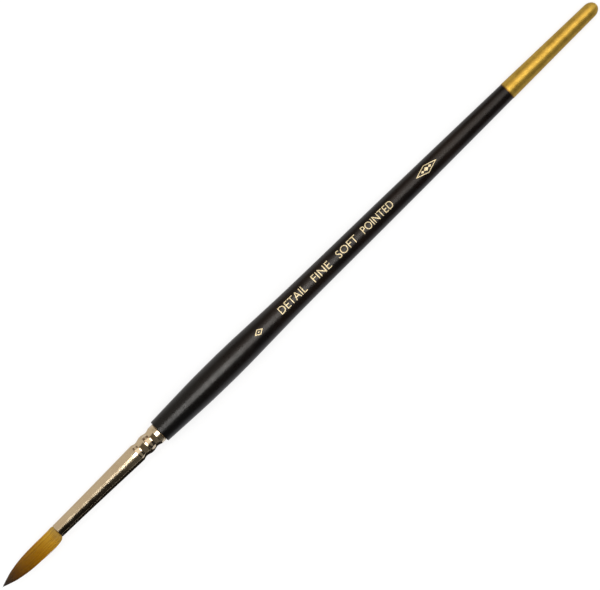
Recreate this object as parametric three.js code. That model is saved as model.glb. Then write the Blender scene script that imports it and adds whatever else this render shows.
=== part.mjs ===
// A round, pointed fine detail brush, number 8, on a short lacquered handle.
// Units are millimetres and +Z is up. The brush lies on a table as someone puts it down: it touches the table
// on the belly of its handle and on the edge of its gold dip, so its axis dips a little towards the handle's end.
// The hair points to -X and the handle's end to +X. The origin is on the table, below the middle of the brush.
//
// Every piece is turned about one axis. Along that axis a station is a distance from the tip of the hair,
// and an outline is a list of (radius, station) points.
import * as THREE from "three";

// Driving dimensions.
const LENGTH = 205;
const SIDES = 24; // flat sides of every turned piece; one of them faces straight down
const FIT_GAP = 0.02; // radial gap between pieces that are glued, dipped or pressed together

// Hair: the part outside the ferrule, then the root that is packed inside it.
const HAIR_OUTLINE = [
  [0, 0], [0.45, 1.2], [0.94, 2.7], [1.36, 4.2], [1.86, 7.1], [2.1, 10.1], [2.17, 14], [2.12, 17.5], [2.08, 18.85],
];
const HAIR_NECK = [1.76, 19.15]; // where the hair tucks in, just outside the mouth
const HAIR_LEAN = 0.38; // how far the tuft has set to one side, most of it just outside the mouth
const LEAN_POWER = 20; // the higher, the closer to the mouth the hair bends
const ROOT_END = 32;
const ROOT_GAP = 0.04;
const WAIST_DEPTH = 0.26; // how far the binding thread pulls the root in
const WAIST_FROM = 28.7;
const WAIST_TO = 31.1;
const WAIST_SLOPE = 0.3; // the length over which the root narrows to its waist

// Binding thread, wound as a helix in the waist of the root.
const THREAD_RADIUS = 0.1;
const THREAD_TURNS = 5;
const THREAD_PITCH = 0.3;
const THREAD_FROM = 29.15;

// Resin that locks the root into the ferrule.
const RESIN_END = 36.6;
const MENISCUS = 0.5; // how far the resin creeps up the wall past its middle

// Ferrule: a tapered tube, rolled in twice to grip the tenon, with a bead left between the two grooves.
const MOUTH = 19.3;
const FERRULE_END = 54.3;
const FERRULE_WALL = 0.25;
const MOUTH_RADIUS = 1.83;
const CONE_RADIUS = 2.41; // where the cone meets the first groove
const CONE_END = 46.7;
const CONE_POWER = 1.3; // 1 would be a straight cone; above 1 the mouth is a little straighter
const BAND_RADIUS = 2.58; // at the ferrule's end, where it was pushed over the tenon
const GROOVE_DEPTH = 0.31;
const GROOVES = [
  { start: CONE_END, bottomFrom: 47.7, bottomTo: 48.4, end: 49.8 },
  { start: 50.1, bottomFrom: 51.2, bottomTo: 52.1, end: 53.1 },
];
const MOUTH_ROUND = 0.1;

// Handle: the lacquered outline from the shoulder to the start of the round end.
const SHOULDER = 54.4;
const REST_FROM = 77.5; // the straight stretch of the belly that the brush rests on
const REST_TO = 82.5;
const BELLY_RADIUS = 3.77;
const FORE_OUTLINE = [[3.12, SHOULDER], [3.28, 58], [3.44, 62], [3.69, 69], [BELLY_RADIUS, REST_FROM]];
const AFT_OUTLINE = [
  [3.43, 91], [3.19, 100], [3.03, 112], [2.88, 130], [2.64, 150], [2.32, 172], [2.05, 188], [1.81, 202.6],
];
const SHOULDER_CHAMFER = 0.08;
const TENON_START = 41.5;
const TENON_CHAMFER = 0.4;
const GLUE_FILM = 0.06;
const GLUE_START = 42.4;
const LACQUER = 0.1;
const GOLD = 0.04;
const GOLD_START = 174.1;
const STICK_END = 204.7; // the bare wood; the lacquer and the gold make up the rest of the length

const point = (radius, station) => new THREE.Vector2(radius, station);

// The radius of an outline at a station.
function radiusAt(line, station) {
  const next = Math.max(1, line.findIndex((p) => p.y >= station));
  const [a, b] = [line[next - 1], line[next]];
  return a.x + ((b.x - a.x) * (station - a.y)) / (b.y - a.y);
}

// The points of an outline between two stations, moved out by an offset.
function stretch(line, from, to, offset = 0) {
  const inside = line.filter((p) => p.y > from + 1e-6 && p.y < to - 1e-6);
  return [point(radiusAt(line, from), from), ...inside, point(radiusAt(line, to), to)].map((p) =>
    point(p.x + offset, p.y),
  );
}

// A smooth outline through a few points, with two steps between neighbours.
function smooth(corners) {
  const STEPS = 2;
  const curve = new THREE.SplineCurve(corners.map(([radius, station]) => point(radius, station)));
  return curve.getPoints(STEPS * (corners.length - 1));
}

// A quarter ellipse that closes a piece at its end, from a radius down to the axis.
function roundEnd(radius, from, to) {
  const STEPS = 4;
  const points = [];
  for (let i = 1; i <= STEPS; i++) {
    const angle = (i / STEPS) * (Math.PI / 2);
    points.push(point(i === STEPS ? 0 : radius * Math.cos(angle), from + (to - from) * Math.sin(angle)));
  }
  return points;
}

// A closed turned piece, its axis along X. The outline runs towards +X on the outside and back on the inside.
function turned(name, outline, material) {
  const half = Math.PI / SIDES;
  const geometry = new THREE.LatheGeometry(outline, SIDES, half, 2 * Math.PI);
  geometry.rotateZ(-Math.PI / 2);
  const mesh = new THREE.Mesh(geometry, material);
  mesh.name = name;
  return mesh;
}

function material(color, roughness, metalness) {
  return new THREE.MeshStandardMaterial({ color, roughness, metalness });
}

// Outlines that several pieces share.

function ferruleRadius(station) {
  const along = (station - MOUTH) / (CONE_END - MOUTH);
  if (along <= 1) return MOUTH_RADIUS + (CONE_RADIUS - MOUTH_RADIUS) * along ** CONE_POWER;
  const swell = (station - CONE_END) / (FERRULE_END - CONE_END);
  let radius = CONE_RADIUS + (BAND_RADIUS - CONE_RADIUS) * swell;
  for (const { start, bottomFrom, bottomTo, end } of GROOVES) {
    const pressedIn = THREE.MathUtils.smoothstep(station, start, bottomFrom);
    const broughtBack = THREE.MathUtils.smoothstep(station, bottomTo, end);
    radius -= GROOVE_DEPTH * (pressedIn - broughtBack);
  }
  return radius;
}

function ferruleLine() {
  const CONE_STEPS = 5;
  const CRIMP_STEPS = 20;
  const stations = [];
  for (let i = 0; i < CONE_STEPS; i++) stations.push(MOUTH + ((CONE_END - MOUTH) * i) / CONE_STEPS);
  for (let i = 0; i <= CRIMP_STEPS; i++) stations.push(CONE_END + ((FERRULE_END - CONE_END) * i) / CRIMP_STEPS);
  return stations.map((station) => point(ferruleRadius(station), station));
}

// How far the belly's straight stretch falls per millimetre, so that it and the gold's edge touch one plane.
function restSlope() {
  const lacquerAtGold = radiusAt(smooth(AFT_OUTLINE), GOLD_START);
  return (BELLY_RADIUS - lacquerAtGold - FIT_GAP - GOLD) / (GOLD_START - REST_FROM);
}

function handleLine() {
  const restEnd = [BELLY_RADIUS - restSlope() * (REST_TO - REST_FROM), REST_TO];
  return [...smooth(FORE_OUTLINE), ...smooth([restEnd, ...AFT_OUTLINE])];
}

const ferruleOuter = ferruleLine();
const ferruleInner = ferruleOuter.map((p) => point(p.x - FERRULE_WALL, p.y));
const handleOuter = handleLine();
const roundStart = handleOuter.at(-1).y;

// Pieces.

function hairTuft() {
  const visible = smooth(HAIR_OUTLINE);
  visible[0].x = 0;
  const neck = [point(...HAIR_NECK), point(ferruleInner[0].x - ROOT_GAP, MOUTH - FIT_GAP)];
  const root = stretch(ferruleInner, MOUTH, ROOT_END, -ROOT_GAP).slice(1);
  const waist = [
    ...root.filter((p) => p.y < WAIST_FROM),
    point(radiusAt(ferruleInner, WAIST_FROM) - ROOT_GAP, WAIST_FROM),
    ...[WAIST_FROM + WAIST_SLOPE, WAIST_TO - WAIST_SLOPE].map((station) =>
      point(radiusAt(ferruleInner, station) - ROOT_GAP - WAIST_DEPTH, station),
    ),
    ...stretch(ferruleInner, WAIST_TO, ROOT_END, -ROOT_GAP),
  ];
  const mesh = turned("hair_tuft", [...visible, ...neck, ...waist, point(0, ROOT_END)], material(0x966a1c, 0.6, 0));
  // The tuft has taken a set: it leans to one side as it leaves the mouth and runs straight from there.
  const position = mesh.geometry.getAttribute("position");
  for (let i = 0; i < position.count; i++) {
    const along = Math.min(position.getX(i) / MOUTH, 1);
    position.setY(i, position.getY(i) - HAIR_LEAN * (1 - along ** LEAN_POWER));
  }
  return mesh;
}

class Helix extends THREE.Curve {
  constructor(radius, pitch, turns, start) {
    super();
    Object.assign(this, { radius, pitch, turns, start });
  }
  getPoint(t, target = new THREE.Vector3()) {
    const angle = t * this.turns * 2 * Math.PI;
    const along = this.start + t * this.turns * this.pitch;
    return target.set(along, this.radius * Math.cos(angle), this.radius * Math.sin(angle));
  }
}

function bindingThread() {
  const STEPS_PER_TURN = 16;
  const ARC_STEPS = 3;
  const waistRadius = radiusAt(ferruleInner, WAIST_TO) - ROOT_GAP - WAIST_DEPTH;
  const path = new Helix(waistRadius + THREAD_RADIUS + FIT_GAP, THREAD_PITCH, THREAD_TURNS, THREAD_FROM);
  const section = new THREE.Shape();
  section.absarc(0, 0, THREAD_RADIUS, 0, 2 * Math.PI);
  const geometry = new THREE.ExtrudeGeometry(section, {
    steps: STEPS_PER_TURN * THREAD_TURNS,
    extrudePath: path,
    curveSegments: ARC_STEPS,
  });
  const mesh = new THREE.Mesh(geometry, material(0xd8cba8, 0.8, 0));
  mesh.name = "binding_thread";
  return mesh;
}

function rootResinPlug() {
  const from = ROOT_END + FIT_GAP;
  const wall = stretch(ferruleInner, from, RESIN_END, -ROOT_GAP);
  const middle = point(0, RESIN_END - MENISCUS);
  return turned("root_resin_plug", [point(0, from), ...wall, middle], material(0x8a4a1e, 0.25, 0));
}

function ferrule() {
  const outer = stretch(ferruleOuter, MOUTH + MOUTH_ROUND, FERRULE_END);
  const inner = stretch(ferruleInner, MOUTH + MOUTH_ROUND, FERRULE_END).reverse();
  const lip = point(MOUTH_RADIUS - FERRULE_WALL / 2, MOUTH);
  return turned("ferrule", [lip, ...outer, ...inner, lip], material(0xc8b48f, 0.25, 1));
}

function tenonGlue() {
  const outer = stretch(ferruleInner, GLUE_START, FERRULE_END, -FIT_GAP);
  const inner = stretch(ferruleInner, GLUE_START, FERRULE_END, -FIT_GAP - GLUE_FILM).reverse();
  return turned("tenon_glue", [...outer, ...inner, outer[0]], material(0xe0d2a0, 0.35, 0));
}

const tenonOffset = -2 * FIT_GAP - GLUE_FILM;

function handleCore() {
  const skin = -LACQUER - FIT_GAP;
  const woodShoulder = SHOULDER + LACQUER + FIT_GAP;
  const tenon = stretch(ferruleInner, TENON_START + TENON_CHAMFER, FERRULE_END, tenonOffset);
  const tenonEnd = point(tenon[0].x - TENON_CHAMFER, TENON_START);
  const step = point(tenon.at(-1).x, woodShoulder);
  const body = stretch(handleOuter, woodShoulder, roundStart, skin);
  const end = roundEnd(body.at(-1).x, roundStart, STICK_END);
  return turned(
    "handle_core",
    [point(0, TENON_START), tenonEnd, ...tenon, step, ...body, ...end],
    material(0xc49a63, 0.6, 0),
  );
}

function blackLacquerCoat() {
  const hole = ferruleInner.at(-1).x + tenonOffset + 2 * FIT_GAP;
  const outer = stretch(handleOuter, SHOULDER + SHOULDER_CHAMFER, roundStart);
  const outerEnd = roundEnd(outer.at(-1).x, roundStart, STICK_END + FIT_GAP + LACQUER);
  const inner = stretch(handleOuter, SHOULDER + LACQUER, roundStart, -LACQUER);
  const innerEnd = roundEnd(inner.at(-1).x, roundStart, STICK_END + FIT_GAP);
  const face = [point(hole, SHOULDER), point(outer[0].x - SHOULDER_CHAMFER, SHOULDER)];
  const throat = point(hole, SHOULDER + LACQUER);
  return turned(
    "black_lacquer_coat",
    [...innerEnd.reverse(), ...inner.reverse(), throat, ...face, ...outer, ...outerEnd],
    material(0x1c1917, 0.35, 0),
  );
}

function goldDipCoat() {
  const innerReach = STICK_END + 2 * FIT_GAP + LACQUER;
  const outer = stretch(handleOuter, GOLD_START, roundStart, FIT_GAP + GOLD);
  const outerEnd = roundEnd(outer.at(-1).x, roundStart, LENGTH);
  const inner = stretch(handleOuter, GOLD_START, roundStart, FIT_GAP);
  const innerEnd = roundEnd(inner.at(-1).x, roundStart, innerReach);
  return turned(
    "gold_dip_coat",
    [...innerEnd.reverse(), ...inner.reverse(), ...outer, ...outerEnd],
    material(0xc79a45, 0.4, 0.6),
  );
}

// The brush about its own axis, then set down on the table.
const brush = new THREE.Group();
brush.add(
  hairTuft(),
  bindingThread(),
  rootResinPlug(),
  ferrule(),
  tenonGlue(),
  handleCore(),
  blackLacquerCoat(),
  goldDipCoat(),
);

const flatShare = Math.cos(Math.PI / SIDES); // a flat side lies this much nearer the axis than a corner
const tilt = Math.atan(restSlope() * flatShare);
brush.rotation.y = tilt;
brush.position.x = -(LENGTH / 2) * Math.cos(tilt);
brush.position.z = REST_FROM * Math.sin(tilt) + BELLY_RADIUS * flatShare * Math.cos(tilt);

const part = new THREE.Group();
part.add(brush);
export default part;
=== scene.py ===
"""A number 8 fine detail brush: the visual model, in metres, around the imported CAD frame.

The brush is turned about one axis, so every piece is built along a local X axis whose coordinate is the
station: the distance from the tip of the hair. AXIS puts that local frame where the CAD model lies.
"""
import math
import random

import bmesh
import bpy
from mathutils import Matrix, Vector, noise


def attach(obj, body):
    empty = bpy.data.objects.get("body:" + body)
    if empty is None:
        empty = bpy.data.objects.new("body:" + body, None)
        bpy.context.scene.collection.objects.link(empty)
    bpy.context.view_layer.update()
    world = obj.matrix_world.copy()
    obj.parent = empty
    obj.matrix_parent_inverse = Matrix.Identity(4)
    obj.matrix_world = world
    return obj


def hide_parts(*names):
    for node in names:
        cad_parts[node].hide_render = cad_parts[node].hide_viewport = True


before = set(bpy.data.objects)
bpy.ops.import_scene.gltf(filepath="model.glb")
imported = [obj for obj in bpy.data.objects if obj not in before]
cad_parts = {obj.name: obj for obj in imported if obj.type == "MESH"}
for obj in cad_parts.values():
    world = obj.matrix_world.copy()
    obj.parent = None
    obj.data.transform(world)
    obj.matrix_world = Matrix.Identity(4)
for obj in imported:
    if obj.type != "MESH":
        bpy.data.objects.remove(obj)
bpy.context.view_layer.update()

MM = 0.001

# The brush, in millimetres: stations along the axis and radii, as the CAD model has them.
LENGTH = 205
FIT_GAP = 0.02

HAIR_OUTLINE = [
    (0, 0), (0.45, 1.2), (0.94, 2.7), (1.36, 4.2), (1.86, 7.1), (2.1, 10.1), (2.17, 14), (2.12, 17.5),
    (2.06, 18.6), (1.86, 19.1), (1.56, 19.34),  # from here it tucks into the mouth
]
HAIR_LEAN = 0.38  # how far the tuft has set to one side
LEAN_POWER = 20  # the higher, the closer to the mouth the hair bends
ROOT_END = 32
ROOT_GAP = 0.04
WAIST_FROM, WAIST_TO, WAIST_DEPTH, WAIST_SLOPE = 28.7, 31.1, 0.26, 0.3

THREAD_RADIUS, THREAD_TURNS, THREAD_PITCH, THREAD_FROM = 0.1, 5, 0.3, 29.15
RESIN_END, MENISCUS = 36.6, 0.5

MOUTH, FERRULE_END, FERRULE_WALL = 19.3, 54.3, 0.25
MOUTH_RADIUS, CONE_RADIUS, BAND_RADIUS = 1.83, 2.41, 2.58
CONE_END, CONE_POWER = 46.7, 1.3
GROOVE_DEPTH = 0.31
GROOVES = [(CONE_END, 48.0, 48.1, 49.8), (50.1, 51.6, 51.7, 53.1)]  # start, rounded bottom from and to, end

SHOULDER, REST_FROM, REST_TO, BELLY_RADIUS = 54.4, 77.5, 82.5, 3.77
FORE_OUTLINE = [(3.12, SHOULDER), (3.28, 58), (3.44, 62), (3.69, 69), (BELLY_RADIUS, REST_FROM)]
AFT_OUTLINE = [
    (3.43, 91), (3.19, 100), (3.03, 112), (2.88, 130),
    (2.64, 150), (2.32, 172), (2.05, 188), (1.81, 202.6),
]
SHOULDER_CHAMFER = 0.08
TENON_START, TENON_CHAMFER = 41.5, 0.4
GLUE_FILM, GLUE_START = 0.06, 42.4
LACQUER, GOLD, GOLD_START, STICK_END = 0.1, 0.04, 174.1, 204.7

CAD_SIDES = 24  # flat sides of the CAD model's turned solids
CAD_STEPS = 2  # steps between neighbouring points of its smooth outlines
FLAT_SHARE = math.cos(math.pi / CAD_SIDES)  # how much nearer the axis a flat side lies than a corner


# ---------------------------------------------------------------- outlines

def smooth(corners, steps):
    """Points of a Catmull-Rom curve through the corners, with a number of steps between neighbours."""
    ends = [corners[0], *corners, corners[-1]]
    made = []
    for a, b, c, d in zip(ends, ends[1:], ends[2:], ends[3:]):
        for i in range(steps):
            t = i / steps
            made.append(tuple(
                q + 0.5 * t * (r - p + t * (2 * p - 5 * q + 4 * r - s + t * (3 * (q - r) + s - p)))
                for p, q, r, s in zip(a, b, c, d)
            ))
    return [*made, corners[-1]]


def radius_at(line, station):
    """The radius of an outline at a station."""
    for (ra, sa), (rb, sb) in zip(line, line[1:]):
        if station <= sb:
            return ra + (rb - ra) * (station - sa) / (sb - sa)
    return line[-1][0]


def stretch(line, start, end, offset=0.0):
    """The points of an outline between two stations, moved out by an offset."""
    inside = [p for p in line if start + 1e-6 < p[1] < end - 1e-6]
    ends = (radius_at(line, start), start), (radius_at(line, end), end)
    return [(r + offset, s) for r, s in (ends[0], *inside, ends[1])]


def round_end(radius, start, end):
    """A quarter ellipse from a radius down to the axis."""
    steps = 16
    angles = [math.pi / 2 * i / steps for i in range(1, steps)]
    arc = [(radius * math.cos(angle), start + (end - start) * math.sin(angle)) for angle in angles]
    return [*arc, (0.0, end)]


def smooth_step(value, start, end):
    share = min(max((value - start) / (end - start), 0.0), 1.0)
    return share * share * (3 - 2 * share)


def ferrule_radius(station):
    along = (station - MOUTH) / (CONE_END - MOUTH)
    if along <= 1:
        return MOUTH_RADIUS + (CONE_RADIUS - MOUTH_RADIUS) * along ** CONE_POWER
    swell = (station - CONE_END) / (FERRULE_END - CONE_END)
    radius = CONE_RADIUS + (BAND_RADIUS - CONE_RADIUS) * swell
    for start, bottom_from, bottom_to, end in GROOVES:
        pressed_in = smooth_step(station, start, bottom_from)
        brought_back = smooth_step(station, bottom_to, end)
        radius -= GROOVE_DEPTH * (pressed_in - brought_back)
    return radius


def spread(start, end, steps):
    return [start + (end - start) * i / steps for i in range(steps + 1)]


LACQUER_AT_GOLD = radius_at(smooth(AFT_OUTLINE, CAD_STEPS), GOLD_START)
REST_SLOPE = (BELLY_RADIUS - LACQUER_AT_GOLD - FIT_GAP - GOLD) / (GOLD_START - REST_FROM)
REST_END = (BELLY_RADIUS - REST_SLOPE * (REST_TO - REST_FROM), REST_TO)

CONE_STEPS, CRIMP_STEPS, HANDLE_STEPS, HAIR_LINE_STEPS = 96, 60, 8, 6
FERRULE_STATIONS = spread(MOUTH, CONE_END, CONE_STEPS)[:-1] + spread(CONE_END, FERRULE_END, CRIMP_STEPS)
FERRULE_OUTER = [(ferrule_radius(station), station) for station in FERRULE_STATIONS]
FERRULE_INNER = [(radius - FERRULE_WALL, station) for radius, station in FERRULE_OUTER]
HANDLE_OUTER = smooth(FORE_OUTLINE, HANDLE_STEPS) + smooth([REST_END, *AFT_OUTLINE], HANDLE_STEPS)
ROUND_START = AFT_OUTLINE[-1][1]
HAIR_LINE = smooth(HAIR_OUTLINE, HAIR_LINE_STEPS)

TILT = math.atan(REST_SLOPE * FLAT_SHARE)
LIFT = REST_FROM * math.sin(TILT) + BELLY_RADIUS * FLAT_SHARE * math.cos(TILT)
AXIS = (
    Matrix.Translation((-LENGTH / 2 * math.cos(TILT) * MM, 0, LIFT * MM))
    @ Matrix.Rotation(TILT, 4, "Y")
    @ Matrix.Scale(MM, 4)
)


# ---------------------------------------------------------------- camera

CAMERA_HEIGHT = 1.0
AXIS_ON_SCREEN = math.radians(44.37)  # the brush runs from lower left to upper right
FRAME_WIDTH = 0.14777  # what the picture shows at the height of the brush's axis
CAMERA_OFFSET = (0.0001, -0.00017)  # from a point straight above the middle of the brush
SENSOR = 36.0


def make_camera():
    data = bpy.data.cameras.new("camera")
    data.sensor_width = SENSOR
    middle = AXIS @ Vector((LENGTH / 2, 0, 0))
    data.lens = SENSOR * CAMERA_HEIGHT / FRAME_WIDTH
    camera = bpy.data.objects.new("camera", data)
    bpy.context.scene.collection.objects.link(camera)
    camera.location = middle + Vector((*CAMERA_OFFSET, CAMERA_HEIGHT))
    camera.rotation_euler = (0, 0, -AXIS_ON_SCREEN)
    bpy.context.scene.camera = camera


# ---------------------------------------------------------------- node helpers

def new_material(name):
    material = bpy.data.materials.new(name)
    material.use_nodes = True
    tree = material.node_tree
    return material, tree, tree.nodes["Principled BSDF"]


def add(tree, kind, inputs=(), **settings):
    """A node with its settings, and its inputs set to values or linked from sockets."""
    node = tree.nodes.new(kind)
    for key, value in settings.items():
        setattr(node, key, value)
    for key, value in dict(inputs).items():
        if isinstance(value, bpy.types.NodeSocket):
            tree.links.new(value, node.inputs[key])
        else:
            node.inputs[key].default_value = value
    return node


def stretched(tree, point, by):
    """The point scaled per axis, which stretches a pattern laid on it."""
    return add(tree, "ShaderNodeMapping", {"Vector": point, "Scale": by}).outputs["Vector"]


def local_point(tree, stretch_by=(1, 1, 1)):
    """The point on the piece in the brush's own millimetres, X along the brush, scaled per axis."""
    back = AXIS.inverted()
    inputs = {
        "Vector": add(tree, "ShaderNodeTexCoord").outputs["Object"],
        "Location": back.to_translation(),
        "Rotation": back.to_euler(),
        "Scale": back.to_scale(),
    }
    in_millimetres = add(tree, "ShaderNodeMapping", inputs).outputs["Vector"]
    return stretched(tree, in_millimetres, stretch_by)


def station_at(tree):
    """How far along the brush the point is, in millimetres from the tip of the hair."""
    return add(tree, "ShaderNodeSeparateXYZ", {"Vector": local_point(tree)}).outputs["X"]


def ramp(tree, factor, stops):
    node = add(tree, "ShaderNodeValToRGB", {"Fac": factor})
    elements = node.color_ramp.elements
    elements[0].position, elements[1].position = stops[0][0], stops[-1][0]
    for position, _ in stops[1:-1]:
        elements.new(position)
    for element, (_, colour) in zip(elements, stops):
        element.color = (*colour, 1)
    return node.outputs["Color"]


def noise_at(tree, where, scale, detail=3.0, roughness=0.5):
    inputs = {"Vector": where, "Scale": scale, "Detail": detail, "Roughness": roughness}
    return add(tree, "ShaderNodeTexNoise", inputs).outputs["Fac"]


def between(tree, factor, low, high, start=0.0, end=1.0):
    """A number from low to high as the factor goes from start to end."""
    inputs = {"Value": factor, "From Min": start, "From Max": end, "To Min": low, "To Max": high}
    return add(tree, "ShaderNodeMapRange", inputs).outputs["Result"]


def combined(tree, operation, a, b):
    """Two numbers combined by a math operation."""
    return add(tree, "ShaderNodeMath", {0: a, 1: b}, operation=operation).outputs["Value"]


def mixed(tree, factor, a, b, blend="MIX"):
    node = add(tree, "ShaderNodeMix", data_type="RGBA", blend_type=blend)
    for socket, value in zip((node.inputs[0], node.inputs[6], node.inputs[7]), (factor, a, b)):
        if isinstance(value, bpy.types.NodeSocket):
            tree.links.new(value, socket)
        else:
            socket.default_value = value if isinstance(value, (int, float)) else (*value, 1)
    return node.outputs[2]


def bump(tree, shader, height, distance):
    """Bumps the surface by a distance in metres."""
    inputs = {"Height": height, "Distance": distance, "Strength": 1.0}
    tree.links.new(add(tree, "ShaderNodeBump", inputs).outputs["Normal"], shader.inputs["Normal"])


def linked(tree, shader, **sockets):
    """Links sockets to the shader's inputs; underscores in a name stand for spaces."""
    for key, socket in sockets.items():
        tree.links.new(socket, shader.inputs[key.replace("_", " ")])


def fixed(shader, **values):
    """Sets constant inputs of the shader; underscores in a name stand for spaces."""
    for key, value in values.items():
        shader.inputs[key.replace("_", " ")].default_value = value


# ---------------------------------------------------------------- mesh helpers

def finish_piece(name, mesh, material, replaced=()):
    """Puts a mesh, built in the brush's own millimetres, where the CAD model lies."""
    mesh.transform(AXIS)
    for polygon in mesh.polygons:
        polygon.use_smooth = True
    mesh.materials.append(material)
    piece = bpy.data.objects.new(name, mesh)
    bpy.context.scene.collection.objects.link(piece)
    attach(piece, "root")
    if replaced:
        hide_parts(*replaced)
    return piece


def turned_mesh(name, outline, sides=96, shape=None):
    """A closed turned mesh about local X.

    The outline runs once round the section. It starts and ends on the axis, or else it closes on itself.
    shape(station, angle, radius) gives the position of a vertex that isn't simply turned.
    """
    mesh = bmesh.new()
    on_axis = [radius < 1e-9 for radius, _ in outline]
    rings = []
    for (radius, station), single in zip(outline, on_axis):
        ring = []
        for i in range(1 if single else sides):
            angle = 2 * math.pi * i / sides
            at = (station, radius * math.sin(angle), radius * math.cos(angle))
            ring.append(mesh.verts.new(shape(station, angle, radius) if shape else at))
        rings.append(ring)
    pairs = list(zip(rings, rings[1:]))
    if not on_axis[0]:
        pairs.append((rings[-1], rings[0]))
    for a, b in pairs:
        for i in range(sides):
            j = (i + 1) % sides
            corners = [a[i % len(a)], a[j % len(a)], b[j % len(b)], b[i % len(b)]]
            mesh.faces.new(list(dict.fromkeys(corners)))
    bmesh.ops.recalc_face_normals(mesh, faces=mesh.faces)
    made = bpy.data.meshes.new(name)
    mesh.to_mesh(made)
    mesh.free()
    return made


def tubes_mesh(name, paths, sides=3):
    """Closed tapered tubes: each path is a list of (centre, thickness) with its own shade from 0 to 1.

    It also returns, for each vertex, how far along the brush it is and its shade, for lay_uv.
    """
    vertices, faces, uvs = [], [], []
    for path, shade in paths:
        first = len(vertices)
        across = Vector((0, 0, 1))
        for k, (centre, thickness) in enumerate(path):
            ahead = path[min(k + 1, len(path) - 1)][0] - path[max(k - 1, 0)][0]
            side = ahead.cross(across).normalized()
            up = side.cross(ahead).normalized()
            for i in range(sides):
                angle = 2 * math.pi * i / sides
                vertices.append(centre + thickness / 2 * (side * math.cos(angle) + up * math.sin(angle)))
        for k in range(len(path) - 1):
            for i in range(sides):
                j = (i + 1) % sides
                a = first + k * sides
                faces.append((a + i, a + j, a + sides + j, a + sides + i))
        last = first + (len(path) - 1) * sides
        faces.append(tuple(first + i for i in reversed(range(sides))))
        faces.append(tuple(last + i for i in range(sides)))
        uvs += [(centre.x, shade) for centre, _ in path for _ in range(sides)]
    mesh = bpy.data.meshes.new(name)
    mesh.from_pydata(vertices, [], faces)
    return mesh, uvs


def lay_uv(mesh, uvs, length):
    """A UV layer of how far along the length a vertex is, and its shade, so that a colour can follow both."""
    margin = 0.02
    layer = mesh.uv_layers.new(name="OFBake")
    for loop in mesh.loops:
        along, shade = uvs[loop.vertex_index]
        share = min(max(along / length, 0), 1)
        layer.data[loop.index].uv = [margin + (1 - 2 * margin) * value for value in (share, shade)]


# ---------------------------------------------------------------- hair

HAIR_COUNT = 1150
STRAY_COUNT = 14
HAIR_STEPS = 24
HAIR_THICKNESS = 0.085
HAIR_ROOT_STATIONS = [MOUTH - inside for inside in (-0.3, 0, 0.1, 0.2, 0.3, 0.5, 0.8)]
WAVER, WAVES = 0.035, 7  # how far a hair strays round the tuft, in radians, and how often
TAPER_FROM, TAPER, TAPER_POWER = 0.45, 0.85, 1.6  # where on its length a hair starts to thin, and by how much
GOLDEN_SHARE = 0.6180339887  # of a turn from each hair to the next, which spreads them evenly
HAIR_STOPS = [  # share of the way from the tip to the mouth, colour
    (0.03, (0.046, 0.043, 0.042)),
    (0.14, (0.060, 0.038, 0.022)),
    (0.27, (0.135, 0.056, 0.006)),
    (0.42, (0.230, 0.102, 0.004)),
    (0.57, (0.320, 0.150, 0.004)),
    (0.72, (0.400, 0.200, 0.008)),
    (0.86, (0.540, 0.310, 0.024)),
    (0.96, (0.430, 0.280, 0.060)),
]


def lean_of(station):
    """How far the tuft's set moves a point sideways."""
    return -HAIR_LEAN * (1 - min(station / MOUTH, 1.0) ** LEAN_POWER)


def hair_material():
    """Golden hair that darkens to the tip, in streaks, each hair with its own shade."""
    material, tree, shader = new_material("hair")
    spot = add(tree, "ShaderNodeUVMap", uv_map="OFBake").outputs["UV"]
    parts = add(tree, "ShaderNodeSeparateXYZ", {"Vector": spot})
    along, shade = parts.outputs["X"], parts.outputs["Y"]
    streak = noise_at(tree, stretched(tree, spot, (3.0, 60.0, 1.0)), 1.0)
    shifted = combined(tree, "ADD", along, between(tree, streak, -0.16, 0.16))
    length_colour = ramp(tree, shifted, HAIR_STOPS)
    own_shade = ramp(tree, shade, [
        (0.0, (0.42, 0.32, 0.25)),
        (0.3, (0.85, 0.72, 0.60)),
        (0.6, (1.0, 1.0, 1.0)),
        (1.0, (1.0, 0.98, 0.95)),
    ])
    colour = mixed(tree, 1.0, length_colour, own_shade, "MULTIPLY")
    linked(tree, shader, Base_Color=colour, Roughness=between(tree, streak, 0.42, 0.6))
    fixed(shader, Specular_IOR_Level=0.0, Sheen_Weight=0.05, Sheen_Roughness=0.5)
    return material


def hair_path(draw, angle, depth, end, lift=0.0):
    """One hair from inside the mouth to its end: it keeps its depth in the tuft and wavers a little.

    The depth is a share of the tuft's radius, and lift raises the hair off the tuft outside the mouth.
    """
    phase, waver = draw.uniform(0, 2 * math.pi), draw.uniform(0.4, 1.0)
    path = []
    for station in (*HAIR_ROOT_STATIONS, *spread(HAIR_ROOT_STATIONS[-1], end, HAIR_STEPS)[1:]):
        t = (station - MOUTH) / (end - MOUTH)
        radius = radius_at(HAIR_LINE, min(station, HAIR_LINE[-1][1])) * (1 - depth) - HAIR_THICKNESS / 2
        radius += lift * math.sin(math.pi * min(max(t, 0) * 1.4, 1))
        turn = angle + WAVER * waver * math.sin(phase + WAVES * t)
        thin = 1 - TAPER * max(0.0, (t - TAPER_FROM) / (1 - TAPER_FROM)) ** TAPER_POWER
        centre = Vector((station, radius * math.sin(turn) + lean_of(station), radius * math.cos(turn)))
        path.append((centre, HAIR_THICKNESS * thin * (0.85 + 0.3 * waver)))
    return path


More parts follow.
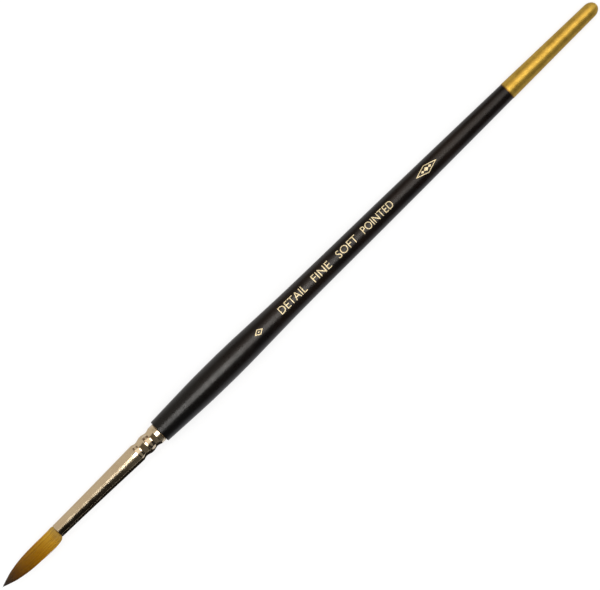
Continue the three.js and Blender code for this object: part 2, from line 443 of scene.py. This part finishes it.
def make_hairs(material):
    """The hairs on the outside of the tuft, most of which reach the tip, and a few strays."""
    draw = random.Random(8)
    paths = []
    for i in range(HAIR_COUNT):
        angle = 2 * math.pi * (i * GOLDEN_SHARE + draw.uniform(-0.002, 0.002))
        depth = draw.uniform(0.0, 0.045) + 0.10 * draw.random() ** 3
        end = 15.0 * draw.random() ** 1.9
        shade = draw.random()
        paths.append((hair_path(draw, angle, depth, end), shade))
    for _ in range(STRAY_COUNT):
        angle = draw.uniform(0, 2 * math.pi)
        end = draw.uniform(8, 14)
        lift = draw.uniform(0.05, 0.16)
        stray = hair_path(draw, angle, 0.0, end, lift)
        paths.append((stray, draw.uniform(0.3, 1.0)))
    mesh, uvs = tubes_mesh("hair_tuft_hairs", paths)
    lay_uv(mesh, uvs, MOUTH)
    return finish_piece("hair_tuft_hairs", mesh, material)


def make_hair_body(material):
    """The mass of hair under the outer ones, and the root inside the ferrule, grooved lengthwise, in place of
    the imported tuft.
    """
    inset = 0.1
    groove_depth, groove_count, groove_drift = 0.035, 26, 0.12
    outside = [(max(r - inset, 0.0), s + inset * (1 - s / MOUTH)) for r, s in HAIR_LINE]
    outside = [(0.0, outside[0][1]), *[p for p in outside if p[0] > 0]]
    wall = stretch(FERRULE_INNER, MOUTH, ROOT_END, -ROOT_GAP)
    root = []
    for station in spread(MOUTH + 0.1, ROOT_END, 48):
        pulled_in = (station - WAIST_FROM) / WAIST_SLOPE
        let_out = (WAIST_TO - station) / WAIST_SLOPE
        pull = min(max(pulled_in, 0), max(let_out, 0), 1)
        root.append((radius_at(wall, station) - WAIST_DEPTH * pull, station))
    outline = [*outside, *root, (0.0, ROOT_END)]

    def grooved(station, angle, radius):
        around = (math.sin(angle) * groove_count, math.cos(angle) * groove_count)
        dip = groove_depth * noise.noise(Vector((*around, station * groove_drift)))
        radius += dip * min(1, radius) - 0.02 * min(1, radius)
        return (station, radius * math.sin(angle) + lean_of(station), radius * math.cos(angle))

    mesh = turned_mesh("hair_tuft_body", outline, sides=180, shape=grooved)
    across = [Vector((v.co.y * 9, v.co.z * 9, 0.0)) for v in mesh.vertices]
    uvs = [(v.co.x, 0.5 + 0.5 * noise.noise(spot)) for v, spot in zip(mesh.vertices, across)]
    lay_uv(mesh, uvs, MOUTH)
    return finish_piece("hair_tuft_body", mesh, material, ["hair_tuft"])


def thread_material():
    """Unbleached linen."""
    material, tree, shader = new_material("linen_thread")
    fibre = noise_at(tree, local_point(tree, (3, 3, 3)), 6.0, 5.0, 0.7)
    straw = ramp(tree, fibre, [(0.3, (0.46, 0.36, 0.20)), (0.7, (0.74, 0.66, 0.47))])
    linked(tree, shader, Base_Color=straw)
    fixed(shader, Roughness=0.85, Sheen_Weight=0.3)
    bump(tree, shader, fibre, 0.00003)
    return material


def make_thread():
    """Two plies twisted together and wound round the root."""
    radius = radius_at(FERRULE_INNER, WAIST_TO) - ROOT_GAP - WAIST_DEPTH + THREAD_RADIUS + FIT_GAP
    steps_per_turn = 60
    steps = steps_per_turn * THREAD_TURNS
    twists_per_turn = 9
    ply = THREAD_RADIUS * 0.52
    off_centre = THREAD_RADIUS - ply
    paths = []
    for start in (0, math.pi):
        path = []
        for k in range(steps + 1):
            turns = k / steps_per_turn
            turn = 2 * math.pi * turns
            twist = start + twists_per_turn * turn
            out = radius + off_centre * math.cos(twist)
            along = THREAD_FROM + THREAD_PITCH * turns + off_centre * math.sin(twist)
            path.append((Vector((along, out * math.cos(turn), out * math.sin(turn))), 2 * ply))
        paths.append((path, 0.5))
    mesh, _ = tubes_mesh("binding_thread_plies", paths, sides=8)
    return finish_piece("binding_thread_plies", mesh, thread_material(), ["binding_thread"])


def resin_material():
    """Brown cement, a little cloudy and glossy where it set."""
    material, tree, shader = new_material("root_resin")
    cloud = noise_at(tree, local_point(tree), 1.4, 4.0)
    brown = ramp(tree, cloud, [(0.3, (0.16, 0.045, 0.010)), (0.7, (0.36, 0.13, 0.03))])
    linked(tree, shader, Base_Color=brown)
    fixed(shader, Roughness=0.18, Coat_Weight=0.4, Coat_Roughness=0.08)
    bump(tree, shader, cloud, 0.00004)
    return material


def make_resin():
    """The plug behind the root, with the hollow face that it set to."""
    start = ROOT_END + FIT_GAP
    wall = stretch(FERRULE_INNER, start, RESIN_END, -ROOT_GAP)
    rim = wall[-1][0]
    shares = (0.96, 0.9, 0.8, 0.65, 0.45, 0.25, 0.0)
    meniscus = [(rim * share, RESIN_END - MENISCUS * (1 - share ** 3)) for share in shares]
    mesh = turned_mesh("resin_plug", [(0.0, start), *wall, *meniscus])
    return finish_piece("resin_plug", mesh, resin_material(), ["root_resin_plug"])


# ---------------------------------------------------------------- ferrule

def nickel_material():
    """Bright nickel plate over brass: warm, hazy, finely buffed, with shallow dents and duller crimps."""
    material, tree, shader = new_material("nickel_plate")
    haze = noise_at(tree, local_point(tree), 0.35, 4.0, 0.6)
    lines = noise_at(tree, local_point(tree, (26, 1.2, 1.2)), 1.0, 3.0, 0.6)
    dents = noise_at(tree, local_point(tree, (0.16, 0.35, 0.35)), 1.0, 1.5)
    tint = ramp(tree, haze, [(0.3, (0.70, 0.57, 0.40)), (0.7, (0.76, 0.645, 0.47))])
    worn = between(tree, station_at(tree), 0.0, 0.08, CONE_END - 1.5, CONE_END + 0.5)
    rough = combined(tree, "ADD", between(tree, haze, 0.06, 0.10, 0.3, 0.7), worn)
    linked(tree, shader, Base_Color=tint, Roughness=rough)
    fixed(shader, Metallic=1.0)
    bump(tree, shader, combined(tree, "ADD", dents, combined(tree, "MULTIPLY", lines, 0.008)), 0.00002)
    return material


def make_ferrule():
    """The tube, with its mouth rolled to a soft edge and its end trimmed square."""
    half = FERRULE_WALL / 2
    middle = MOUTH_RADIUS - half
    trim = 0.04
    lip = [
        (middle + half * math.cos(angle), MOUTH + half - half * math.sin(angle))
        for angle in spread(math.pi, 0, 8)
    ]
    past_lip = MOUTH + half + 0.05
    outer = stretch(FERRULE_OUTER, past_lip, FERRULE_END - trim)
    outer.append((outer[-1][0] - trim, FERRULE_END))
    inner = stretch(FERRULE_INNER, past_lip, FERRULE_END)[::-1]
    mesh = turned_mesh("ferrule_tube", [*lip, *outer, *inner], sides=128)
    return finish_piece("ferrule_tube", mesh, nickel_material(), ["ferrule"])


# ---------------------------------------------------------------- handle

TENON_OFFSET = -2 * FIT_GAP - GLUE_FILM  # from the ferrule's bore to the tenon


def glue_material():
    """Dried wood glue with bubbles in it."""
    material, tree, shader = new_material("wood_glue")
    bubbles = noise_at(tree, local_point(tree), 3.0, 4.0, 0.65)
    yellow = ramp(tree, bubbles, [(0.35, (0.50, 0.38, 0.16)), (0.65, (0.78, 0.70, 0.44))])
    linked(tree, shader, Base_Color=yellow)
    fixed(shader, Roughness=0.35)
    bump(tree, shader, bubbles, 0.00003)
    return material


def make_glue():
    """The film between the tenon and the ferrule."""
    outer = stretch(FERRULE_INNER, GLUE_START, FERRULE_END, -FIT_GAP)
    inner = stretch(FERRULE_INNER, GLUE_START, FERRULE_END, -FIT_GAP - GLUE_FILM)[::-1]
    mesh = turned_mesh("glue_film", [*outer, *inner], sides=72)
    return finish_piece("glue_film", mesh, glue_material(), ["tenon_glue"])


def wood_material():
    """Pale turned birch: grain along the stick, pores and a little figure."""
    material, tree, shader = new_material("birch")
    grain = noise_at(tree, local_point(tree, (0.08, 2.6, 2.6)), 1.0, 5.0, 0.65)
    pores = noise_at(tree, local_point(tree, (0.5, 14, 14)), 1.0, 2.0, 0.5)
    figure = ramp(tree, grain, [
        (0.3, (0.36, 0.20, 0.075)),
        (0.55, (0.56, 0.36, 0.16)),
        (0.8, (0.66, 0.46, 0.23)),
    ])
    dark = ramp(tree, pores, [(0.32, (0.55, 0.48, 0.42)), (0.42, (1.0, 1.0, 1.0))])
    linked(tree, shader, Base_Color=mixed(tree, 1.0, figure, dark, "MULTIPLY"))
    fixed(shader, Roughness=0.6)
    bump(tree, shader, grain, 0.00005)
    return material


def make_wood():
    """The turned stick with its tenon."""
    skin = -LACQUER - FIT_GAP
    wood_shoulder = SHOULDER + LACQUER + FIT_GAP
    tenon = stretch(FERRULE_INNER, TENON_START + TENON_CHAMFER, FERRULE_END, TENON_OFFSET)
    body = stretch(HANDLE_OUTER, wood_shoulder, ROUND_START, skin)
    outline = [
        (0.0, TENON_START), (tenon[0][0] - TENON_CHAMFER, TENON_START), *tenon,
        (tenon[-1][0], wood_shoulder), *body, *round_end(body[-1][0], ROUND_START, STICK_END),
    ]
    mesh = turned_mesh("handle_wood", outline, sides=72)
    return finish_piece("handle_wood", mesh, wood_material(), ["handle_core"])


def lacquer_material():
    """Satin black lacquer: a little orange peel, fine lengthwise scratches, a brown cast past the grip."""
    material, tree, shader = new_material("black_lacquer")
    point = local_point(tree)
    cast = noise_at(tree, point, 0.12, 3.0)
    smudge = noise_at(tree, point, 0.5, 5.0, 0.65)
    scratch = noise_at(tree, local_point(tree, (0.35, 22, 22)), 1.0, 2.0, 0.6)
    peel = noise_at(tree, point, 3.2, 2.0)
    brown = ramp(tree, cast, [(0.35, (0.0025, 0.0012, 0.0009)), (0.65, (0.0060, 0.0026, 0.0013))])
    past_grip = between(tree, station_at(tree), 0.0, 1.0, 60, 95)
    black = mixed(tree, past_grip, (0.0014, 0.0012, 0.0012), brown)
    marks = ramp(tree, scratch, [(0.70, (0.0, 0.0, 0.0)), (0.76, (0.010, 0.008, 0.007))])
    smudged = between(tree, smudge, 0.24, 0.32, 0.3, 0.7)
    rough = combined(tree, "ADD", smudged, between(tree, scratch, -0.02, 0.05))
    linked(tree, shader, Base_Color=mixed(tree, 1.0, black, marks, "ADD"), Roughness=rough)
    fixed(shader, IOR=1.42)
    bump(tree, shader, combined(tree, "ADD", peel, between(tree, scratch, 0.0, 0.25)), 0.000012)
    return material


def make_lacquer():
    """The black coat: it covers the shoulder, with a rounded edge, and the whole stick."""
    hole = FERRULE_INNER[-1][0] + TENON_OFFSET + 2 * FIT_GAP
    top = radius_at(HANDLE_OUTER, SHOULDER + SHOULDER_CHAMFER)
    edge = [
        (top - SHOULDER_CHAMFER * (1 - math.sin(angle)), SHOULDER + SHOULDER_CHAMFER * (1 - math.cos(angle)))
        for angle in spread(0, math.pi / 2, 6)
    ]
    outer = stretch(HANDLE_OUTER, SHOULDER + SHOULDER_CHAMFER + 0.05, ROUND_START)
    inner = stretch(HANDLE_OUTER, SHOULDER + LACQUER, ROUND_START, -LACQUER)[::-1]
    outline = [
        *round_end(inner[0][0], ROUND_START, STICK_END + FIT_GAP)[::-1], *inner,
        (hole, SHOULDER + LACQUER), (hole, SHOULDER), *edge, *outer,
        *round_end(outer[-1][0], ROUND_START, STICK_END + FIT_GAP + LACQUER),
    ]
    mesh = turned_mesh("lacquer_coat", outline, sides=128)
    return finish_piece("lacquer_coat", mesh, lacquer_material(), ["black_lacquer_coat"])


def gold_material():
    """Metallic gold dip: fine flake sparkle in a satin binder, with painted shade darkening it along the dip
    line.
    """
    material, tree, shader = new_material("gold_paint")
    point = local_point(tree)
    flakes = noise_at(tree, point, 14.0, 2.0, 0.7)
    clouds = noise_at(tree, point, 0.5, 4.0, 0.6)
    drift = combined(tree, "ADD", flakes, clouds)
    drift_share = between(tree, drift, 0, 1, 0.6, 1.4)
    gold = ramp(tree, drift_share, [(0.2, (0.50, 0.315, 0.045)), (0.8, (0.74, 0.49, 0.085))])
    # painted shade: the first half millimetre of gold past its edge is coloured darker, standing in for the
    # shade at the dip line
    dip_line_shade = between(tree, station_at(tree), 1.0, 0.0, GOLD_START + 0.1, GOLD_START + 0.55)
    colour = mixed(tree, dip_line_shade, gold, (0.12, 0.055, 0.012))
    linked(tree, shader, Base_Color=colour, Roughness=between(tree, flakes, 0.33, 0.5, 0.3, 0.7))
    fixed(shader, Metallic=0.9, Coat_Weight=0.1, Coat_Roughness=0.25)
    bump(tree, shader, drift, 0.000012)
    return material


def make_gold():
    """The gold dip: its edge is a small rounded bead."""
    skin = FIT_GAP + GOLD
    bead = [  # share of the gold's thickness, distance from its edge
        (0.0, 0.0), (0.45, 0.06), (0.8, 0.2), (1.0, 0.38), (1.15, 0.62), (1.08, 1.0), (1.0, 1.5),
    ]
    lip = [
        (radius_at(HANDLE_OUTER, GOLD_START + past) + FIT_GAP + GOLD * share, GOLD_START + past)
        for share, past in bead
    ]
    outer = stretch(HANDLE_OUTER, GOLD_START + 2.2, ROUND_START, skin)
    inner = stretch(HANDLE_OUTER, GOLD_START + 0.1, ROUND_START, FIT_GAP)[::-1]
    outline = [
        *round_end(inner[0][0], ROUND_START, STICK_END + 2 * FIT_GAP + LACQUER)[::-1], *inner,
        *lip, *outer, *round_end(outer[-1][0], ROUND_START, LENGTH),
    ]
    mesh = turned_mesh("gold_coat", outline, sides=128)
    return finish_piece("gold_coat", mesh, gold_material(), ["gold_dip_coat"])


# ---------------------------------------------------------------- foil marks

FOIL = 0.014  # how far the leaf stands out of the lacquer
FOIL_UNDERSIDE = 0.002
FOIL_SIDE = 0.115  # how far round from the top the marks are centred, in radians
LETTER_HEIGHT = 2.0
LETTER_WEIGHT = -0.004  # how much finer the strokes are than the built-in font's, in its own units
WORDS = [  # word, stations from and to
    ("DETAIL", 96.1, 104.9),
    ("FINE", 107.4, 113.2),
    ("SOFT", 115.8, 122.4),
    ("POINTED", 124.4, 134.6),
]
SMALL_DIAMOND = (87.6, 90.3, 1.7)  # stations from and to, height across the brush
LOZENGE = (142.9, 149.9, 2.4)


def foil_material():
    """Stamped gold leaf, duller where it has worn."""
    material, tree, shader = new_material("gold_foil")
    wear = noise_at(tree, local_point(tree), 3.5, 4.0, 0.7)
    colour = ramp(tree, wear, [(0.3, (0.50, 0.38, 0.18)), (0.6, (0.78, 0.67, 0.42))])
    linked(tree, shader, Base_Color=colour, Roughness=between(tree, wear, 0.55, 0.35, 0.3, 0.7))
    fixed(shader, Metallic=0.35)
    bump(tree, shader, wear, 0.000006)
    return material


def flat_word(word):
    """A word of the built-in font as a flat mesh."""
    curve = bpy.data.curves.new(word, "FONT")
    curve.body = word
    curve.resolution_u = 5
    curve.offset = LETTER_WEIGHT
    holder = bpy.data.objects.new(word, curve)
    bpy.context.scene.collection.objects.link(holder)
    flat = bpy.data.meshes.new_from_object(holder.evaluated_get(bpy.context.evaluated_depsgraph_get()))
    bpy.data.objects.remove(holder)
    bpy.data.curves.remove(curve)
    return flat


def flat_diamonds(outside, inside, solid):
    """A plain ornament: a diamond outline, given by the half length and half width of its outer and inner
    edges, round a row of solid diamonds, each given by its place and size."""
    def diamond(x, half_long, half_wide):
        return [(x - half_long, 0, 0), (x, -half_wide, 0), (x + half_long, 0, 0), (x, half_wide, 0)]

    vertices = [*diamond(0, *outside), *diamond(0, *inside)]
    faces = [(i, (i + 1) % 4, 4 + (i + 1) % 4, 4 + i) for i in range(4)]
    for x, size in solid:
        faces.append(tuple(range(len(vertices), len(vertices) + 4)))
        vertices += diamond(x, size, size * 0.8)
    flat = bpy.data.meshes.new("diamonds")
    flat.from_pydata(vertices, [], faces)
    return flat


def fit_figure(flat, start, end, height):
    """Stretches a flat figure to lie between two stations, with a height across the brush."""
    low = [min(v.co[i] for v in flat.vertices) for i in (0, 1)]
    high = [max(v.co[i] for v in flat.vertices) for i in (0, 1)]
    for v in flat.vertices:
        along = start + (end - start) * (v.co.x - low[0]) / (high[0] - low[0])
        v.co = (along, height * ((v.co.y - low[1]) / (high[1] - low[1]) - 0.5), 0)
    return flat


def wrap_on_handle(name, flat, material):
    """Lays a flat figure, X along the brush and Y across, on the handle as a thin leaf of foil.

    It is first cut into narrow strips along the brush, so that it can bend round the handle.
    """
    strip, strips_each_side = 0.24, 6
    cut = bmesh.new()
    cut.from_mesh(flat)
    bpy.data.meshes.remove(flat)
    bmesh.ops.triangulate(cut, faces=cut.faces)
    for i in range(-strips_each_side, strips_each_side + 1):
        everything = [*cut.verts, *cut.edges, *cut.faces]
        place = (0, i * strip, 0)
        bmesh.ops.bisect_plane(cut, geom=everything, dist=1e-5, plane_co=place, plane_no=(0, 1, 0))
    bmesh.ops.remove_doubles(cut, verts=cut.verts, dist=1e-4)
    bmesh.ops.triangulate(cut, faces=cut.faces)
    cut.normal_update()
    cut.verts.index_update()
    cut.verts.ensure_lookup_table()
    vertices = []
    for lift in (FOIL, FOIL_UNDERSIDE):
        for v in cut.verts:
            radius = radius_at(HANDLE_OUTER, v.co.x)
            angle = FOIL_SIDE + v.co.y / radius
            out = radius + lift
            vertices.append((v.co.x, out * math.sin(angle), out * math.cos(angle)))
    under = len(cut.verts)
    faces = []
    for face in cut.faces:
        corners = [v.index for v in face.verts]
        if face.normal.z < 0:
            corners.reverse()
        faces.append(tuple(corners))
        faces.append(tuple(under + i for i in reversed(corners)))
        for a, b in zip(corners, corners[1:] + corners[:1]):
            edge = cut.edges.get((cut.verts[a], cut.verts[b]))
            if len(edge.link_faces) == 1:
                faces.append((b, a, under + a, under + b))
    cut.free()
    mesh = bpy.data.meshes.new(name)
    mesh.from_pydata(vertices, [], faces)
    piece = finish_piece(name, mesh, material)
    for polygon in mesh.polygons:
        polygon.use_smooth = False
    return piece


def make_foil():
    material = foil_material()
    for word, start, end in WORDS:
        figure = fit_figure(flat_word(word), start, end, LETTER_HEIGHT)
        wrap_on_handle("foil_" + word.lower(), figure, material)
    small = flat_diamonds((1.0, 1.0), (0.7, 0.68), [(0, 0.22)])
    wrap_on_handle("foil_small_diamond", fit_figure(small, *SMALL_DIAMOND), material)
    large = flat_diamonds((1.0, 0.36), (0.84, 0.29), [(-0.34, 0.13), (0, 0.2), (0.34, 0.13)])
    wrap_on_handle("foil_lozenge", fit_figure(large, *LOZENGE), material)


# ---------------------------------------------------------------- stage

FLOOR_DROP = 0.00004  # the round pieces reach about this much below the CAD's flat sides
FLOOR_HALF = 4.0
FLOOR_GLOW = 0.72  # the floor's own light, so that it stays pale and the brush's shadow faint
WORLD_STRENGTH = 1.02
KEY_PLACE = (-0.0455, 0.035, 0.62)
KEY_SIZE = (0.112, 0.42)
KEY_POWER = 1.3
KEY_COLOUR = (1.0, 0.98, 0.95)
STUDIO_RADIUS = 0.95
# The gloss mirrors an arch of cards over the brush and cloths beside it, and nothing else sees them. The pale
# ones stand on the +Y side and the dark ones on the -Y side. From x = -0.128 to -0.085 the arch is open above
# the key light, and shows the white world.
CARDS = [  # name, degrees from straight up towards +Y, from and to, x from and to, colour, strength
    ("pale_card", 42, 89, -0.27, -0.09, (1.0, 0.91, 0.78), 0.64),
    ("hair_end_low_card", -6, 42, -0.27, -0.128, (1.0, 0.91, 0.78), 0.62),
    ("crimp_card", 20, 42, -0.128, -0.085, (1.0, 0.92, 0.80), 0.80),
    ("crimp_side_card", -30, -6, -0.134, -0.085, (1.0, 0.98, 0.88), 0.6),
    ("grey_card", -89, -30, -0.134, -0.085, (1.0, 0.95, 0.82), 0.17),
    ("black_card", -89, -6, -0.27, -0.134, (1.0, 0.90, 0.75), 0.006),
    ("hair_end_pale_card", 46, 89, -2.5, -0.27, (1.0, 0.91, 0.78), 0.62),
    ("hair_end_brown_card", -14, 46, -2.5, -0.27, (1.0, 0.80, 0.55), 0.12),
    ("hair_end_grey_card", -89, -14, -2.5, -0.27, (1.0, 0.93, 0.80), 0.12),
    ("belly_card", -16, 26, -0.085, 0.0, (1.0, 0.92, 0.80), 0.7),
    ("belly_brown_card", 26, 89, -0.085, 0.0, (1.0, 0.80, 0.62), 0.08),
    ("warm_card", -16, 46, 0.0, 0.35, (1.0, 0.82, 0.70), 1.25),
    ("brown_card", 46, 89, 0.0, 0.35, (1.0, 0.70, 0.48), 0.18),
    ("dark_card", -89, -16, -0.085, 0.35, (0.85, 0.85, 1.0), 0.015),
    ("gold_end_card", -16, 46, 0.35, 2.5, (1.0, 0.97, 0.88), 1.15),
    ("gold_end_pale_card", 46, 89, 0.35, 2.5, (1.0, 0.91, 0.78), 0.62),
    ("gold_end_grey_card", -89, -16, 0.35, 2.5, (1.0, 0.93, 0.80), 0.22),
]
CLOTH_NEAR = 0.0008  # how close to the brush's axis the cloths reach
CLOTH_LEVEL = -FLOOR_DROP + 0.00001
CLOTHS = [  # name, side (+Y or -Y), x from and to, colour, strength
    ("pale_cloth", 1, -0.35, -0.05, (1.0, 0.91, 0.78), 0.62),
    ("black_cloth", -1, -0.35, -0.05, (1.0, 0.9, 0.75), 0.012),
    ("grey_cloth", 1, -0.05, 0.072, (1.0, 0.97, 0.95), 0.72),
    ("cool_cloth", -1, -0.05, 0.072, (0.97, 0.97, 1.0), 0.72),
    ("gold_end_cloth", 1, 0.072, 0.35, (1.0, 0.96, 0.90), 0.5),
    ("gold_end_dim_cloth", -1, 0.072, 0.35, (1.0, 0.96, 0.90), 0.42),
]


def stage_object(name, mesh, material, **sees):
    """A piece of the studio; the keywords say which kinds of ray see it."""
    mesh.materials.append(material)
    thing = bpy.data.objects.new(name, mesh)
    bpy.context.scene.collection.objects.link(thing)
    for ray, seen in sees.items():
        setattr(thing, "visible_" + ray, seen)
    return thing


ONLY_IN_GLOSS = dict(camera=False, diffuse=False, transmission=False, volume_scatter=False, shadow=False)


def glow_material(name, colour, strength):
    """A surface that only gives off light."""
    material = bpy.data.materials.new(name)
    material.use_nodes = True
    tree = material.node_tree
    tree.nodes.clear()
    glow = add(tree, "ShaderNodeEmission", {"Color": (*colour, 1), "Strength": strength})
    tree.links.new(glow.outputs["Emission"], add(tree, "ShaderNodeOutputMaterial").inputs["Surface"])
    return material


def arch_mesh(name, start, end, from_x, to_x):
    """Part of a tunnel along X over the brush; angles are degrees from straight up towards +Y."""
    steps = 24
    vertices = []
    for angle in spread(math.radians(start), math.radians(end), steps):
        y, z = STUDIO_RADIUS * math.sin(angle), STUDIO_RADIUS * math.cos(angle)
        vertices += [(from_x, y, z), (to_x, y, z)]
    faces = [(2 * i, 2 * i + 1, 2 * i + 3, 2 * i + 2) for i in range(steps)]
    mesh = bpy.data.meshes.new(name)
    mesh.from_pydata(vertices, [], faces)
    return mesh


def make_floor():
    material, tree, shader = new_material("pale_floor")
    speck = noise_at(tree, add(tree, "ShaderNodeTexCoord").outputs["Object"], 40.0, 3.0)
    grey = ramp(tree, speck, [(0.3, (0.25, 0.25, 0.25)), (0.7, (0.27, 0.27, 0.27))])
    linked(tree, shader, Base_Color=grey)
    fixed(shader, Roughness=0.9, Specular_IOR_Level=0.1)
    fixed(shader, Emission_Color=(1.0, 1.0, 1.0, 1.0), Emission_Strength=FLOOR_GLOW)
    signs = ((-1, -1), (1, -1), (1, 1), (-1, 1))
    corners = [(x * FLOOR_HALF, y * FLOOR_HALF, -FLOOR_DROP) for x, y in signs]
    mesh = bpy.data.meshes.new("floor")
    mesh.from_pydata(corners, [], [(0, 1, 2, 3)])
    stage_object("floor", mesh, material)


def make_studio_cards():
    for name, start, end, from_x, to_x, colour, strength in CARDS:
        card = glow_material(name, colour, strength)
        stage_object(name, arch_mesh(name, start, end, from_x, to_x), card, **ONLY_IN_GLOSS)
    for name, side, from_x, to_x, colour, strength in CLOTHS:
        near, far = side * CLOTH_NEAR, side * STUDIO_RADIUS
        outline = ((from_x, near), (to_x, near), (to_x, far), (from_x, far))
        corners = [(x, y, CLOTH_LEVEL) for x, y in outline]
        mesh = bpy.data.meshes.new(name)
        mesh.from_pydata(corners, [], [(0, 1, 2, 3)])
        stage_object(name, mesh, glow_material(name, colour, strength), **ONLY_IN_GLOSS)


def make_key_light():
    """A soft box above the hair and the ferrule, facing straight down."""
    data = bpy.data.lights.new("key_softbox", "AREA")
    data.shape = "RECTANGLE"
    data.size, data.size_y = KEY_SIZE
    data.energy = KEY_POWER
    data.color = KEY_COLOUR
    light = bpy.data.objects.new("key_softbox", data)
    bpy.context.scene.collection.objects.link(light)
    light.location = KEY_PLACE
    below = Vector((KEY_PLACE[0], KEY_PLACE[1], 0))
    light.rotation_euler = (below - Vector(KEY_PLACE)).to_track_quat("-Z", "Y").to_euler()
    light.visible_camera = False


def make_world():
    world = bpy.data.worlds.new("studio")
    bpy.context.scene.world = world
    world.use_nodes = True
    sky = world.node_tree.nodes["Background"]
    sky.inputs["Color"].default_value = (1.0, 1.0, 1.0, 1)
    sky.inputs["Strength"].default_value = WORLD_STRENGTH


# ---------------------------------------------------------------- the whole

def make_brush():
    hair = hair_material()
    make_hair_body(hair)
    make_hairs(hair)
    make_thread()
    make_resin()
    make_ferrule()
    make_glue()
    make_wood()
    make_lacquer()
    make_gold()
    make_foil()


make_camera()
make_floor()
make_studio_cards()
make_key_light()
make_world()
make_brush()
bpy.context.scene.view_settings.view_transform = "Standard"
